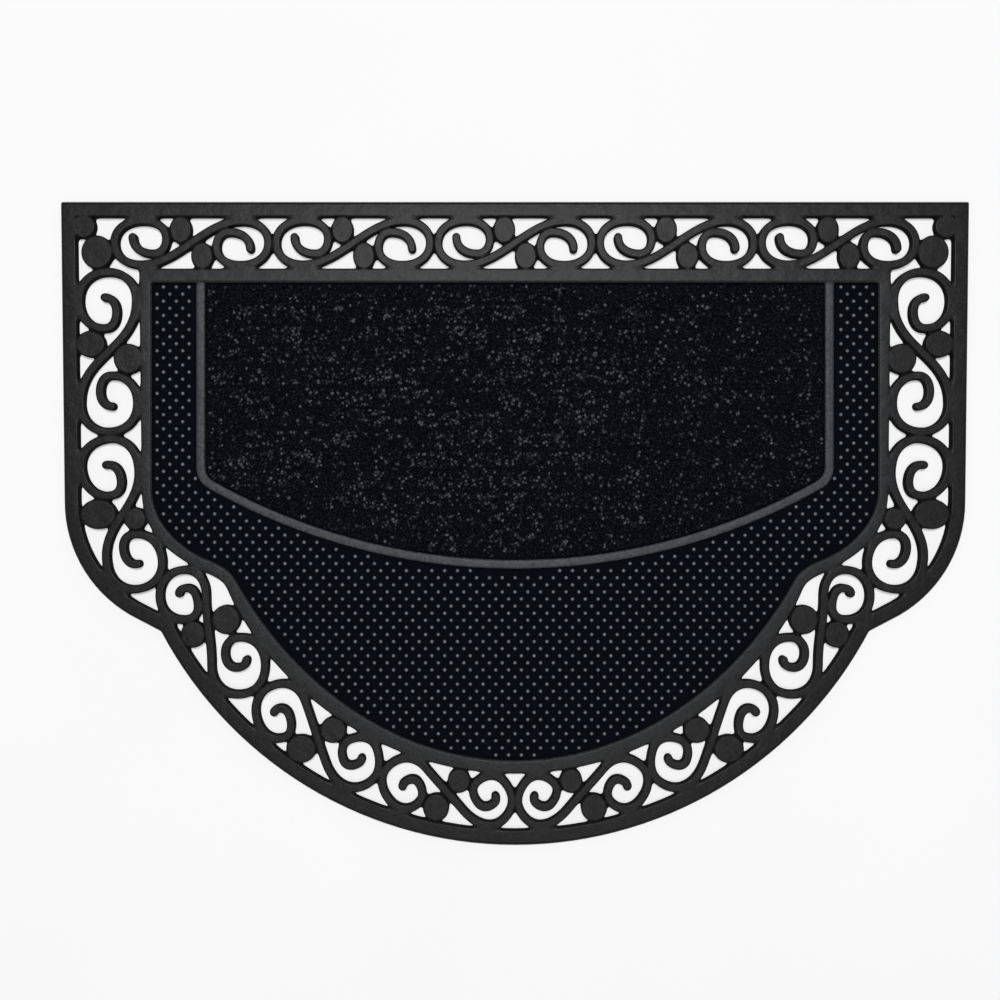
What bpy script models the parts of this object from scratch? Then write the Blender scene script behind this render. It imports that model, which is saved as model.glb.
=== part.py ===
"""Half-round doormat: a rubber moulding with a pierced scroll border, and the carpet insert that lies in it.

Metres, +Z up. The origin is at the middle of the flat underside, and the mat's straight edge is its +Y edge.
Both pieces are drawn in plan as overlapping loops, which are merged and then raised to their heights.
"""
from collections import namedtuple
from math import acos, cos, pi, radians, sin

import bmesh
import bpy
from mathutils import Vector
from mathutils.geometry import delaunay_2d_cdt, interpolate_bezier

# Heights above the ground
FLOOR_TOP = 0.003
RIB_TOP = 0.0075
BORDER_TOP = 0.008
CARPET_TOP = 0.0072
CLEARANCE = 0.0003

# Outer outline: straight sides, round shoulders, a notch on each side and one wide arc
MAT_WIDTH = 0.750
MAT_DEPTH = 0.531
WAIST_WIDTH = 0.744
SHOULDER_Y = 0.018
SHOULDER_RADIUS = 0.108
SHOULDER_TURN = radians(60)
NOTCH_HALF_WIDTH = 0.2925
BOTTOM_RADIUS = 0.3305

# Widths of what runs round the mat
RIM_WIDTH = 0.0124
RIB_WIDTH = 0.0074
STRAND_WIDTH = 0.0069

# A point on half an outline, its heading in degrees and the handle length of the curve to the next point
Knot = namedtuple("Knot", "x y heading handle")
TRAY_TOP = 0.2104
TRAY_HALF_WIDTH = 0.3102
TRAY_KNOTS = (
    Knot(0.0, -0.2065, 0, 0.096),
    Knot(0.2308, -0.0684, 61, 0.019),
    Knot(0.2530, -0.0415, 25, 0.036),
    Knot(0.3081, 0.0277, 90, 0.0),
)
FIELD_TOP = 0.1987
FIELD_KNOTS = (
    Knot(0.0, -0.1955, 0, 0.0975),
    Knot(0.2300, -0.0475, 61, 0.012),
    Knot(0.2555, -0.0290, 23, 0.025),
    Knot(0.2997, 0.0277, 90, 0.0),
)
RIB_KNOTS = (
    Knot(0.0, -0.0337, 0, 0.0876),
    Knot(0.2503, 0.0315, 29.3, 0.0075),
    Knot(0.2595, 0.0475, 90, 0.0),
)

# A volute's outermost points from its eye, in ring radii: towards the ring's head, and towards its open side
Turn = namedtuple("Turn", "head open_side")
TOP_VOLUTE = (
    Turn(0.0, 0.98),
    Turn(1.21, 0.0),
    Turn(-0.05, -1.0),
    Turn(-1.12, -0.19),
    Turn(-0.55, 0.49),
    Turn(0.39, -0.26),
)
WIDE_VOLUTE = (
    Turn(0.0, 1.0),
    Turn(1.0, 0.0),
    Turn(0.0, -1.0),
    Turn(-0.97, -0.10),
    Turn(-0.40, 0.30),
    Turn(0.11, -0.10),
)
SHOULDER_UPPER_VOLUTE = (
    Turn(0.0, 1.0),
    Turn(1.10, 0.12),
    Turn(0.0, -0.97),
    Turn(-1.02, 0.02),
    Turn(-0.50, 0.66),
    Turn(0.33, 0.21),
    Turn(0.10, -0.14),
)
SHOULDER_LOWER_VOLUTE = (
    Turn(0.0, 0.91),
    Turn(1.01, 0.0),
    Turn(0.0, -0.95),
    Turn(-0.97, -0.10),
    Turn(-0.43, 0.44),
    Turn(0.08, 0.06),
    Turn(-0.19, -0.30),
)
ARC_UPPER_VOLUTE = (
    Turn(0.07, 0.91),
    Turn(1.01, 0.0),
    Turn(-0.08, -1.0),
    Turn(-0.94, -0.27),
    Turn(-0.23, 0.18),
    Turn(0.14, -0.15),
    Turn(0.06, -0.31),
)
ARC_LOWER_VOLUTE = (
    Turn(-0.30, 0.89),
    Turn(0.95, -0.08),
    Turn(-0.20, -1.06),
    Turn(-0.84, -0.27),
    Turn(-0.20, 0.25),
    Turn(0.11, -0.10),
    Turn(-0.03, -0.40),
)
END_UPPER_VOLUTE = (
    Turn(0.01, 0.95),
    Turn(1.04, -0.08),
    Turn(-0.07, -1.0),
    Turn(-0.87, -0.27),
    Turn(-0.20, 0.34),
    Turn(0.12, -0.10),
    Turn(0.04, -0.24),
)
END_LOWER_VOLUTE = (
    Turn(-0.35, 0.92),
    Turn(1.0, 0.0),
    Turn(-0.12, -1.06),
    Turn(-0.83, -0.26),
    Turn(-0.13, 0.28),
    Turn(0.26, -0.17),
    Turn(0.09, -0.41),
)

# Each S-scroll joins two rings, whose heads point along its heading and against it. The handle is how long
# the strand keeps that heading between them. The side and bottom scrolls run down the right half of the mat.
Ring = namedtuple("Ring", "x y radius volute")
Scroll = namedtuple("Scroll", "heading handle first second")
SIDE_SCROLLS = (
    Scroll(89, 0.42, Ring(0.3364, 0.1841, 0.0236, WIDE_VOLUTE), Ring(0.3354, 0.0993, 0.0235, WIDE_VOLUTE)),
    Scroll(77, 0.42, Ring(0.3348, 0.0463, 0.0235, WIDE_VOLUTE), Ring(0.3143, -0.0315, 0.0228, WIDE_VOLUTE)),
    Scroll(
        90, 0.40,
        Ring(0.2746, -0.0597, 0.0194, SHOULDER_UPPER_VOLUTE),
        Ring(0.2290, -0.1172, 0.0238, SHOULDER_LOWER_VOLUTE),
    ),
    Scroll(
        70, 0.40,
        Ring(0.1920, -0.1549, 0.0223, ARC_UPPER_VOLUTE),
        Ring(0.1350, -0.1978, 0.0223, ARC_LOWER_VOLUTE),
    ),
    Scroll(
        50, 0.40,
        Ring(0.0884, -0.2147, 0.0206, END_UPPER_VOLUTE),
        Ring(0.0240, -0.2296, 0.0208, END_LOWER_VOLUTE),
    ),
)
TOP_SCROLL_COUNT = 5
TOP_SCROLL_PITCH = 0.1336
TOP_SCROLL_Y = 0.2317
TOP_EYE_SPACING = 0.0826
TOP_RING_RADIUS = 0.0184
TOP_HANDLE = 0.34

ELLIPSE_HANDLE = 0.60

# Bosses between the scrolls, with their half-widths along X and Y: those of the right half, and one of each
# top scroll's pair from the scroll's middle
Boss = namedtuple("Boss", "x y half_x half_y")
SIDE_BOSSES = (
    Boss(0.3562, 0.2453, 0.0098, 0.0098),
    Boss(0.3451, 0.2240, 0.0129, 0.0138),
    Boss(0.3503, 0.1481, 0.0120, 0.0110),
    Boss(0.3192, 0.1361, 0.0121, 0.0124),
    Boss(0.3440, 0.0077, 0.0148, 0.0124),
    Boss(0.3136, 0.0038, 0.0092, 0.0094),
    Boss(0.2656, -0.0916, 0.0102, 0.0110),
    Boss(0.2385, -0.0793, 0.0118, 0.0120),
    Boss(0.1765, -0.1860, 0.0124, 0.0115),
    Boss(0.1502, -0.1705, 0.0109, 0.0107),
    Boss(0.0463, -0.2124, 0.0094, 0.0100),
    Boss(0.0652, -0.2345, 0.0108, 0.0114),
)
TOP_BOSS = Boss(-0.0089, 0.0108, 0.0091, 0.0113)
BOSS_OVERLAP = 0.0008

# Fineness of the curves
OUTLINE_STEPS = 12
VOLUTE_STEPS = (5, 5, 5, 4, 3, 2)
RING_QUARTERS = 3
DIAGONAL_STEPS = 6
TIP_STEPS = 3
BOSS_SIDES = 16
MERGE_DISTANCE = 0.00001

Loop = namedtuple("Loop", "kind points")


def clear_scene():
    for thing in list(bpy.data.objects):
        bpy.data.objects.remove(thing, do_unlink=True)


def arc(centre, radius, start, end, steps):
    """Points on a circle from one angle to another, both ends included."""
    angles = [start + (end - start) * step / steps for step in range(steps + 1)]
    return [centre + radius * Vector((cos(angle), sin(angle))) for angle in angles]


def curve_through(knots, steps):
    """Smooth curve through the knots of half an outline."""
    points = [Vector((knots[0].x, knots[0].y))]
    for start, end in zip(knots, knots[1:]):
        leave = start.handle * Vector((cos(radians(start.heading)), sin(radians(start.heading))))
        arrive = start.handle * Vector((cos(radians(end.heading)), sin(radians(end.heading))))
        first = Vector((start.x, start.y))
        last = Vector((end.x, end.y))
        points += interpolate_bezier(first, first + leave, last - arrive, last, steps + 1)[1:]
    return points


def mirrored(points):
    """The points on the mat's other half, in reverse so that a loop runs on through them."""
    return [Vector((-point.x, point.y)) for point in reversed(points)]


def left_of(direction):
    return Vector((-direction.y, direction.x)).normalized()


def shifted(path, distance, closed=False):
    """The path moved to its left by a distance, with its corners kept sharp."""
    before = path[-1:] + path[:-1]
    after = path[1:] + path[:1]
    if not closed:
        before[0] = path[0] - (path[1] - path[0])
        after[-1] = path[-1] + (path[-1] - path[-2])
    moved = []
    for previous, point, following in zip(before, path, after):
        side = (left_of(point - previous) + left_of(following - point)).normalized()
        moved.append(point + side * distance / side.dot(left_of(following - point)))
    return moved


def ribbon(path, width, tip_steps):
    """Loop round a strand of even width with round tips."""
    loop = []
    for way in (path, path[::-1]):
        loop += shifted(way, -width / 2)
        across = left_of(way[-1] - way[-2])
        tip_angle = across.angle_signed(Vector((1, 0)))
        loop += arc(way[-1], width / 2, tip_angle + pi, tip_angle + 2 * pi, tip_steps)[1:-1]
    return loop


def outer_outline():
    """The mat's edge: the wide arc up to the notch, the shoulder and the side of each half."""
    arc_centre = Vector((0, BOTTOM_RADIUS - MAT_DEPTH / 2))
    half = arc(arc_centre, BOTTOM_RADIUS, -pi / 2, -acos(NOTCH_HALF_WIDTH / BOTTOM_RADIUS), OUTLINE_STEPS)
    shoulder_centre = Vector((WAIST_WIDTH / 2 - SHOULDER_RADIUS, SHOULDER_Y))
    half += arc(shoulder_centre, SHOULDER_RADIUS, -SHOULDER_TURN, 0, OUTLINE_STEPS // 2)
    half.append(Vector((MAT_WIDTH / 2, MAT_DEPTH / 2)))
    return half + mirrored(half[1:])


def tray_outline():
    """The inner rim's outer edge, which leans out a little towards the top."""
    half = curve_through(TRAY_KNOTS, OUTLINE_STEPS)
    half.append(Vector((TRAY_HALF_WIDTH, TRAY_TOP)))
    return half + mirrored(half[1:])


def field_outline():
    """The sunk field's edge, which is also the inner rim's inner edge."""
    half = curve_through(FIELD_KNOTS, OUTLINE_STEPS)
    half.append(Vector((half[-1].x, FIELD_TOP)))
    return half + mirrored(half[1:])


def rib_path(top):
    """The rib's middle line, from the left leg's top down and round to the right leg's top."""
    half = curve_through(RIB_KNOTS, OUTLINE_STEPS)
    half.append(Vector((half[-1].x, top)))
    return mirrored(half[1:]) + half


def volute(ring, head, open_side):
    """From the ring's open side round to the tip in its eye, as quarters of ellipses."""
    eye = Vector((ring.x, ring.y))
    places = [eye + ring.radius * (turn.head * head + turn.open_side * open_side) for turn in ring.volute]
    headings = [head, -open_side, -head, open_side] * 2
    points = [places[0]]
    for index, (start, end) in enumerate(zip(places, places[1:])):
        leave = headings[index] * abs((end - start).dot(headings[index]))
        arrive = headings[index + 1] * abs((end - start).dot(headings[index + 1]))
        curve = (start, start + leave * ELLIPSE_HANDLE, end - arrive * ELLIPSE_HANDLE, end)
        points += interpolate_bezier(*curve, VOLUTE_STEPS[index] + 1)[1:]
    return points


def scroll_lengths(scroll):
    """Middle line of one S-scroll, with the mat's middle on its right.

    It comes in three lengths, of which none runs over itself: the S and the two curls in its eyes. Each curl
    shares one step of the line with the S.
    """
    head = Vector((cos(radians(scroll.heading)), sin(radians(scroll.heading))))
    inward = left_of(head)
    first = volute(scroll.first, head, inward)
    second = volute(scroll.second, -head, -inward)
    handle = head * (second[0] - first[0]).length * scroll.handle
    curve = (first[0], first[0] - handle, second[0] + handle, second[0])
    diagonal = interpolate_bezier(*curve, DIAGONAL_STEPS + 1)
    cut = sum(VOLUTE_STEPS[:RING_QUARTERS])
    return [first[cut::-1] + diagonal[1:-1] + second[:cut + 1], first[cut - 1:], second[cut - 1:]]


def top_scroll_middles():
    """Where the scrolls along the straight edge have their middles, left to right."""
    first = -TOP_SCROLL_PITCH * (TOP_SCROLL_COUNT - 1) / 2
    return [first + TOP_SCROLL_PITCH * index for index in range(TOP_SCROLL_COUNT)]


def top_scroll(middle):
    """The scroll along the straight edge that has its middle here."""
    rings = [
        Ring(middle + way * TOP_EYE_SPACING / 2, TOP_SCROLL_Y, TOP_RING_RADIUS, TOP_VOLUTE)
        for way in (-1, 1)
    ]
    return Scroll(180, TOP_HANDLE, *rings)


def scroll_loops():
    """Every strand of the border: a row along the straight edge, and the two mirrored sides."""
    strands = []
    for middle in top_scroll_middles():
        for path in scroll_lengths(top_scroll(middle)):
            strands.append(ribbon(path, STRAND_WIDTH, TIP_STEPS))
    for scroll in SIDE_SCROLLS:
        for path in scroll_lengths(scroll):
            strand = ribbon(path, STRAND_WIDTH, TIP_STEPS)
            strands += [strand, mirrored(strand)]
    return [Loop("strand", strand) for strand in strands]


def boss_loops():
    """Every boss of the border, a little larger than drawn so that it runs into what it touches."""
    bosses = list(SIDE_BOSSES)
    bosses += [boss._replace(x=-boss.x) for boss in SIDE_BOSSES]
    for middle in top_scroll_middles():
        for way in (1, -1):
            bosses.append(TOP_BOSS._replace(x=middle + way * TOP_BOSS.x, y=TOP_SCROLL_Y + way * TOP_BOSS.y))
    circle = arc(Vector((0, 0)), 1, 0, 2 * pi, BOSS_SIDES)[:-1]
    loops = []
    for boss in bosses:
        reach = Vector((boss.half_x + BOSS_OVERLAP, boss.half_y + BOSS_OVERLAP))
        loops.append(Loop("boss", [Vector((boss.x, boss.y)) + point * reach for point in circle]))
    return loops


def moulding_height(inside):
    """How high the rubber stands inside these kinds of loop."""
    if "mat" not in inside:
        return 0
    if "field" in inside:
        return RIB_TOP if "rib" in inside else FLOOR_TOP
    if "tray" in inside or "rim opening" not in inside:
        return BORDER_TOP
    return BORDER_TOP if inside & {"strand", "boss"} else 0


def carpet_height(inside):
    return CARPET_TOP


def with_edges(faces):
    """The faces together with their edges and corners, each once."""
    edges = dict.fromkeys(edge for face in faces for edge in face.edges)
    corners = dict.fromkeys(vert for face in faces for vert in face.verts)
    return [*faces, *edges, *corners]


def raise_plan(name, loops, height, base, levels):
    """One closed solid over the merged loops, raised from its base level by level."""
    corners = []
    outlines = []
    for loop in loops:
        outlines.append(list(range(len(corners), len(corners) + len(loop.points))))
        corners += loop.points
    places, _, triangles, _, _, owners = delaunay_2d_cdt(corners, [], outlines, 1, MERGE_DISTANCE)
    plan = bmesh.new()
    height_layer = plan.faces.layers.float.new("height")
    verts = [plan.verts.new((place.x, place.y, base)) for place in places]
    for triangle, owner in zip(triangles, owners):
        top = height({loops[index].kind for index in owner})
        if top:
            face = plan.faces.new([verts[index] for index in triangle])
            face[height_layer] = top
    bmesh.ops.delete(plan, geom=[vert for vert in plan.verts if not vert.link_faces], context="VERTS")
    caps = list(plan.faces)
    for low, high in zip((base,) + levels, levels):
        caps = [face for face in caps if face[height_layer] > low + MERGE_DISTANCE]
        grown = bmesh.ops.extrude_face_region(plan, geom=with_edges(caps))["geom"]
        caps = [part for part in grown if isinstance(part, bmesh.types.BMFace)]
        raised = [part for part in grown if isinstance(part, bmesh.types.BMVert)]
        bmesh.ops.translate(plan, verts=raised, vec=(0, 0, high - low))
    bmesh.ops.recalc_face_normals(plan, faces=plan.faces)
    mesh = bpy.data.meshes.new(name)
    plan.to_mesh(mesh)
    plan.free()
    mesh.shade_smooth()
    mesh.set_sharp_from_angle(angle=radians(30))
    solid = bpy.data.objects.new(name, mesh)
    bpy.context.scene.collection.objects.link(solid)
    return solid


def plain_material(name, colour, roughness):
    material = bpy.data.materials.new(name)
    material.use_nodes = True
    shader = material.node_tree.nodes["Principled BSDF"]
    shader.inputs["Base Color"].default_value = (*colour, 1)
    shader.inputs["Roughness"].default_value = roughness
    shader.inputs["Metallic"].default_value = 0
    return material


def make_rubber_mat():
    """Rims, scrollwork, sunk floor and rib as one moulding."""
    mat = outer_outline()
    loops = [
        Loop("mat", mat),
        Loop("rim opening", shifted(mat, RIM_WIDTH, closed=True)),
        Loop("tray", tray_outline()),
        Loop("field", field_outline()),
        Loop("rib", ribbon(rib_path((FIELD_TOP + TRAY_TOP) / 2), RIB_WIDTH, 1)),
    ]
    loops += scroll_loops() + boss_loops()
    solid = raise_plan("rubber_mat", loops, moulding_height, 0, (FLOOR_TOP, RIB_TOP, BORDER_TOP))
    solid.data.materials.append(plain_material("rubber", (0.028, 0.028, 0.030), 0.55))


def make_carpet_insert():
    """The carpet, cut to the rib's inner side and clear of it by a hair."""
    edge = shifted(rib_path(FIELD_TOP - CLEARANCE), RIB_WIDTH / 2 + CLEARANCE)
    loops = [Loop("carpet", edge)]
    solid = raise_plan("carpet_insert", loops, carpet_height, FLOOR_TOP + CLEARANCE, (CARPET_TOP,))
    solid.data.materials.append(plain_material("carpet", (0.012, 0.013, 0.016), 0.95))


clear_scene()
make_rubber_mat()
make_carpet_insert()
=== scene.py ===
from collections import namedtuple
from math import acos, cos, pi, radians, sin

import bmesh
import bpy
import numpy as np
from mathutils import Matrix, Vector, noise
from mathutils.geometry import delaunay_2d_cdt, interpolate_bezier


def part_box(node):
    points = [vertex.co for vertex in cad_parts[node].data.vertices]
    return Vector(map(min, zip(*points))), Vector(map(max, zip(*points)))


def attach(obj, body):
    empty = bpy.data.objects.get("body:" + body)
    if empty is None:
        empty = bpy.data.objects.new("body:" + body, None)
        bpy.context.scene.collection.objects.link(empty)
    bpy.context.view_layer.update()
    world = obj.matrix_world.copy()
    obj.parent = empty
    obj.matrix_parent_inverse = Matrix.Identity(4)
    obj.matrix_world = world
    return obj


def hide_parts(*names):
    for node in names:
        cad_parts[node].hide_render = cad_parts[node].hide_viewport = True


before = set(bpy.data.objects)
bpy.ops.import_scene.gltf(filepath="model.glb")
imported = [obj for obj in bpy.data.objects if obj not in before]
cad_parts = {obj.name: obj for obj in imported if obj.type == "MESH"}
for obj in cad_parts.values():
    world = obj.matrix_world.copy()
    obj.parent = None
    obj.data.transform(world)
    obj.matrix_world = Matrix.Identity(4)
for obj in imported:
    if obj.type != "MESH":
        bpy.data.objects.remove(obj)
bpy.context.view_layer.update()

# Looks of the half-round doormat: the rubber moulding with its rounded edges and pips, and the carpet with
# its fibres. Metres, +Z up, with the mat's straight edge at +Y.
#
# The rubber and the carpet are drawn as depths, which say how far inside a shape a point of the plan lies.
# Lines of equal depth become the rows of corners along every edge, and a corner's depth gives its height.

# Heights, from the frame
BORDER_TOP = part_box("rubber_mat")[1].z
CARPET_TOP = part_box("carpet_insert")[1].z
CLEARANCE = 0.0003
FLOOR_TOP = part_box("carpet_insert")[0].z - CLEARANCE
RIB_TOP = BORDER_TOP - 0.0005

# Outer outline: straight sides, round shoulders, a notch on each side and one wide arc
MAT_WIDTH = 0.750
MAT_DEPTH = 0.531
WAIST_WIDTH = 0.744
SHOULDER_Y = 0.018
SHOULDER_RADIUS = 0.108
SHOULDER_TURN = radians(60)
NOTCH_HALF_WIDTH = 0.2925
BOTTOM_RADIUS = 0.3305

# Widths of what runs round the mat
RIM_WIDTH = 0.0124
RIB_WIDTH = 0.0074
STRAND_WIDTH = 0.0069

# A point on half an outline, its heading in degrees and the handle length of the curve to the next point
Knot = namedtuple("Knot", "x y heading handle")
TRAY_TOP = 0.2104
TRAY_HALF_WIDTH = 0.3102
TRAY_KNOTS = (
    Knot(0.0, -0.2065, 0, 0.096),
    Knot(0.2308, -0.0684, 61, 0.019),
    Knot(0.2530, -0.0415, 25, 0.036),
    Knot(0.3081, 0.0277, 90, 0.0),
)
FIELD_TOP = 0.1987
FIELD_KNOTS = (
    Knot(0.0, -0.1955, 0, 0.0975),
    Knot(0.2300, -0.0475, 61, 0.012),
    Knot(0.2555, -0.0290, 23, 0.025),
    Knot(0.2997, 0.0277, 90, 0.0),
)
RIB_KNOTS = (
    Knot(0.0, -0.0337, 0, 0.0876),
    Knot(0.2503, 0.0315, 29.3, 0.0075),
    Knot(0.2595, 0.0475, 90, 0.0),
)

# A volute's outermost points from its eye, in ring radii: towards the ring's head and its open side
Turn = namedtuple("Turn", "head open_side")
TOP_VOLUTE = (
    Turn(0.0, 0.98),
    Turn(1.21, 0.0),
    Turn(-0.05, -1.0),
    Turn(-1.12, -0.19),
    Turn(-0.55, 0.49),
    Turn(0.39, -0.26),
)
WIDE_VOLUTE = (
    Turn(0.0, 1.0),
    Turn(1.0, 0.0),
    Turn(0.0, -1.0),
    Turn(-0.97, -0.10),
    Turn(-0.40, 0.30),
    Turn(0.11, -0.10),
)
SHOULDER_UPPER_VOLUTE = (
    Turn(0.0, 1.0),
    Turn(1.10, 0.12),
    Turn(0.0, -0.97),
    Turn(-1.02, 0.02),
    Turn(-0.50, 0.66),
    Turn(0.33, 0.21),
    Turn(0.10, -0.14),
)
SHOULDER_LOWER_VOLUTE = (
    Turn(0.0, 0.91),
    Turn(1.01, 0.0),
    Turn(0.0, -0.95),
    Turn(-0.97, -0.10),
    Turn(-0.43, 0.44),
    Turn(0.08, 0.06),
    Turn(-0.19, -0.30),
)
ARC_UPPER_VOLUTE = (
    Turn(0.07, 0.91),
    Turn(1.01, 0.0),
    Turn(-0.08, -1.0),
    Turn(-0.94, -0.27),
    Turn(-0.23, 0.18),
    Turn(0.14, -0.15),
    Turn(0.06, -0.31),
)
ARC_LOWER_VOLUTE = (
    Turn(-0.30, 0.89),
    Turn(0.95, -0.08),
    Turn(-0.20, -1.06),
    Turn(-0.84, -0.27),
    Turn(-0.20, 0.25),
    Turn(0.11, -0.10),
    Turn(-0.03, -0.40),
)
END_UPPER_VOLUTE = (
    Turn(0.01, 0.95),
    Turn(1.04, -0.08),
    Turn(-0.07, -1.0),
    Turn(-0.87, -0.27),
    Turn(-0.20, 0.34),
    Turn(0.12, -0.10),
    Turn(0.04, -0.24),
)
END_LOWER_VOLUTE = (
    Turn(-0.35, 0.92),
    Turn(1.0, 0.0),
    Turn(-0.12, -1.06),
    Turn(-0.83, -0.26),
    Turn(-0.13, 0.28),
    Turn(0.26, -0.17),
    Turn(0.09, -0.41),
)

# Each S-scroll joins two rings, whose heads point along its heading and against it. The handle is how long
# the strand keeps that heading between them. The side and bottom scrolls run down the mat's right half.
Ring = namedtuple("Ring", "x y radius volute")
Scroll = namedtuple("Scroll", "heading handle first second")
SIDE_SCROLLS = (
    Scroll(89, 0.42, Ring(0.3364, 0.1841, 0.0236, WIDE_VOLUTE), Ring(0.3354, 0.0993, 0.0235, WIDE_VOLUTE)),
    Scroll(77, 0.42, Ring(0.3348, 0.0463, 0.0235, WIDE_VOLUTE), Ring(0.3143, -0.0315, 0.0228, WIDE_VOLUTE)),
    Scroll(
        90, 0.40,
        Ring(0.2746, -0.0597, 0.0194, SHOULDER_UPPER_VOLUTE),
        Ring(0.2290, -0.1172, 0.0238, SHOULDER_LOWER_VOLUTE),
    ),
    Scroll(
        70, 0.40,
        Ring(0.1920, -0.1549, 0.0223, ARC_UPPER_VOLUTE),
        Ring(0.1350, -0.1978, 0.0223, ARC_LOWER_VOLUTE),
    ),
    Scroll(
        50, 0.40,
        Ring(0.0884, -0.2147, 0.0206, END_UPPER_VOLUTE),
        Ring(0.0240, -0.2296, 0.0208, END_LOWER_VOLUTE),
    ),
)
TOP_SCROLL_COUNT = 5
TOP_SCROLL_PITCH = 0.1336
TOP_SCROLL_Y = 0.2317
TOP_EYE_SPACING = 0.0826
TOP_RING_RADIUS = 0.0184
TOP_HANDLE = 0.34
ELLIPSE_HANDLE = 0.60

# Bosses between the scrolls, with their half-widths along X and Y: those of the right half, and one of each
# top scroll's pair from the scroll's middle
Boss = namedtuple("Boss", "x y half_x half_y")
SIDE_BOSSES = (
    Boss(0.3562, 0.2453, 0.0098, 0.0098),
    Boss(0.3451, 0.2240, 0.0129, 0.0138),
    Boss(0.3503, 0.1481, 0.0120, 0.0110),
    Boss(0.3192, 0.1361, 0.0121, 0.0124),
    Boss(0.3440, 0.0077, 0.0148, 0.0124),
    Boss(0.3136, 0.0038, 0.0092, 0.0094),
    Boss(0.2656, -0.0916, 0.0102, 0.0110),
    Boss(0.2385, -0.0793, 0.0118, 0.0120),
    Boss(0.1765, -0.1860, 0.0124, 0.0115),
    Boss(0.1502, -0.1705, 0.0109, 0.0107),
    Boss(0.0463, -0.2124, 0.0094, 0.0100),
    Boss(0.0652, -0.2345, 0.0108, 0.0114),
)
TOP_BOSS = Boss(-0.0089, 0.0108, 0.0091, 0.0113)

# Fineness of the plan and of its meshes
GRID_STEP = 0.001
GRID_MARGIN = 0.006
WITHIN_LAST_CELL = 1.001
OUTLINE_STEPS = 30
VOLUTE_STEPS = 12
DIAGONAL_STEPS = 16
CORNER_SPACING = 0.0018
FEWEST_CORNERS = 6
UNDERSIDE_GRID = 0.012
MERGE_DISTANCE = 0.00001

# Rounded edges: how wide each is and how far it drops. The rows are shares of that width at which an edge has
# its corners. A crease is a rounded edge between two raised forms, and a fillet rounds an opening's corner.
Edge = namedtuple("Edge", "width drop")
FORM_EDGE = Edge(0.0012, 0.0010)
CREASE_EDGE = Edge(0.0015, 0.0014)
OUTER_EDGE = Edge(0.0026, 0.0020)
FIELD_EDGE = Edge(0.0020, 0.0012)
RIB_EDGE = Edge(0.0016, 0.0011)
CARPET_EDGE = Edge(0.0024, 0.0016)
EDGE_ROWS = (0.0, 0.25, 0.55, 1.0)
CREASE_ROWS = (0.16, 0.40, 0.68, 1.0)
DEEPEST_DROP = 1.4
FILLET = 0.0042
CREASE_ONSET = 0.0005

# Tone along the rubber's colour ramp: darkest in the sunk places. Painted shade darkens walls, tops' edges
# and creases.
FLOOR_TONE = 0.0
# Painted shade: the walls darken down to this tone at their feet
WALL_SHADE_TONE = 0.1
BORDER_TONE = 0.35
LEDGE_TONE = 0.65
RIB_TONE = 1.0
FLOOR_COLOUR = (0.0008, 0.0014, 0.0036)
LEDGE_WIDTH = 0.013
# Painted shade: how wide the dark band along every top's edge is, and how dark it and the creases get
EDGE_SHADE_WIDTH = 0.0007
EDGE_SHADE = 0.58
CREASE_SHADE = 0.40

# Pips: staggered rows of low domes, each from its foot to its top, with a painted highlight that is palest on
# top
PIP_PITCH_X = 0.01058
PIP_PITCH_Y = 0.00587
PIP_FIRST_Y = 0.1957
PIP_MARGIN = 0.0028
PIP_SIDES = 10
PipRow = namedtuple("PipRow", "radius height tone")
PIP_PROFILE = (
    PipRow(0.00185, -0.0001, 0.0),
    PipRow(0.00160, 0.0005, 0.28),
    PipRow(0.00120, 0.0009, 0.70),
    PipRow(0.00055, 0.0011, 1.0),
)

# Carpet: shallow ribs across the mat and an uneven nap
CARPET_GRID = 0.0022
CARPET_LOW_END = -0.1
CARPET_HIGH_END = 0.25
CARPET_RIB_PITCH = 0.0172
CARPET_RIB_DEPTH = 0.0007
GROOVE_ONSET = 0.6
Layer = namedtuple("Layer", "weight size seed")
NAP_LAYERS = (Layer(0.6, 0.0035, 3.5), Layer(0.4, 0.00175, 7.5))
NAP_DEPTH = 0.0009
NAP_LEVEL = -0.4

# Loose fibres, which lie thicker in some patches than in others
Fibres = namedtuple("Fibres", "name seed count length radius lift clump")
PALE_FIBRES = Fibres("carpet_fibres_pale", 11, 7400, (0.0018, 0.0036), 0.00185, 0.0010, 1.1)
DARK_FIBRES = Fibres("carpet_fibres_dark", 12, 9000, (0.0018, 0.0050), 0.00045, 0.0008, 0.3)
FIBRE_TRIES = 6
FIBRE_MARGIN = 0.0022
FIBRE_LOW_END = -0.04
FIBRE_BEND = 1.1
FIBRE_LIFTS = (0.3, 1.0)
FIBRE_GIRTHS = (0.7, 1.3)
FIBRE_TAPER = (0.5, 1.0, 1.0, 0.5)
FIBRE_FLATNESS = 0.45
FIBRE_SIDES = 3
PATCH_LAYERS = (Layer(0.65, 0.007, 20.5), Layer(0.25, 0.020, 30.5), Layer(0.10, 0.100, 40.5))
PATCH_CONTRAST = 1.6
MEAN_CHANCE = 0.5
LEAST_CHANCE = 0.03

# Where the carpet has fewer fibres: in its grooves, towards its right side and along its top edge. The last
# two are places across or down the carpet and the share of the fibres that is left there.
GROOVE_BARENESS = 0.85
WORN_SIDE = ((0.0, 0.20), (1.0, 0.55))
WORN_TOP = ((0.007, 0.015), (0.3, 1.0))

# Materials: noise mostly lies between these values
NOISE_RANGE = (0.3, 0.7)

# Camera: above the point of the mat that is in the middle of the picture
CAMERA_X = -0.0124
CAMERA_Y = 0.0194
CAMERA_HEIGHT = 1.10
PICTURE_WIDTH = 0.8245
SENSOR_WIDTH = 36.0

Plan = namedtuple("Plan", "open relief mat field rib carpet")


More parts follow.
